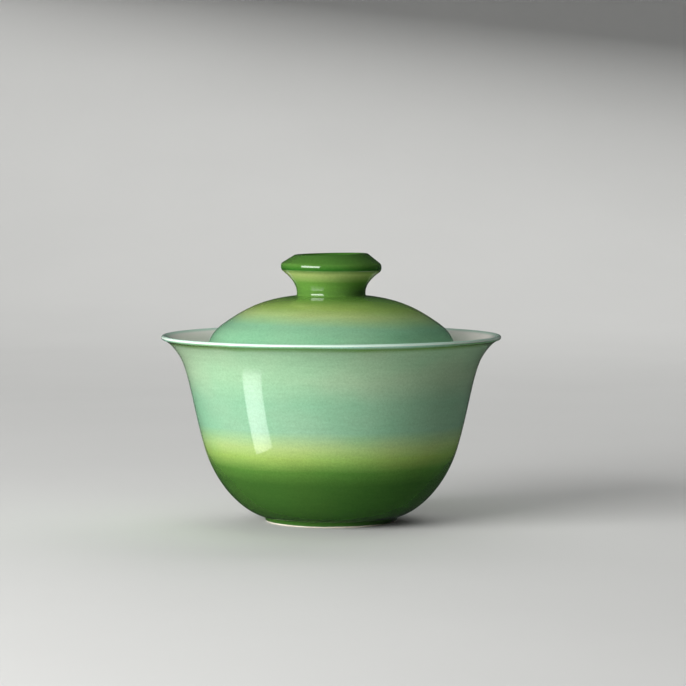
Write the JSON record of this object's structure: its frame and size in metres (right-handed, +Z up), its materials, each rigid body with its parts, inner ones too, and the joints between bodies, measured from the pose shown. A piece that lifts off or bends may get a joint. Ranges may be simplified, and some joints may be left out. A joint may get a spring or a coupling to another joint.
{
  "type": "gaiwan",
  "caption": "Lidded porcelain tea bowl with a flared rim and low foot ring, and a domed lid with a hollow ring knob that sits inside the rim.",
  "frame": {"origin": "centre of the foot ring, on the surface that the bowl stands on", "axes": "+Z up, along the axis that the bowl and the lid are turned about; X and Y level"},
  "size_m": [0.102, 0.102, 0.0805],
  "materials": {
    "bare_porcelain": "unglazed, fine and matt",
    "green_glaze": "clear gloss over sprayed bands of mint, yellow-green and deep green",
    "white_glaze": "clear gloss over white"
  },
  "bodies": {
    "bowl": {"bowl_body": "bare_porcelain", "bowl_outer_glaze": "green_glaze", "bowl_inner_glaze": "white_glaze", "foot_glaze": "white_glaze"},
    "lid": {"lid_dome": "bare_porcelain", "lid_knob": "bare_porcelain", "lid_outer_glaze": "green_glaze", "lid_inner_glaze": "white_glaze"}
  },
  "joints": [
    {"name": "lid_lift", "type": "slide", "parent": "bowl", "child": "lid", "axis": [0, 0, 1], "range_m": [0, 0.06]}
  ]
}
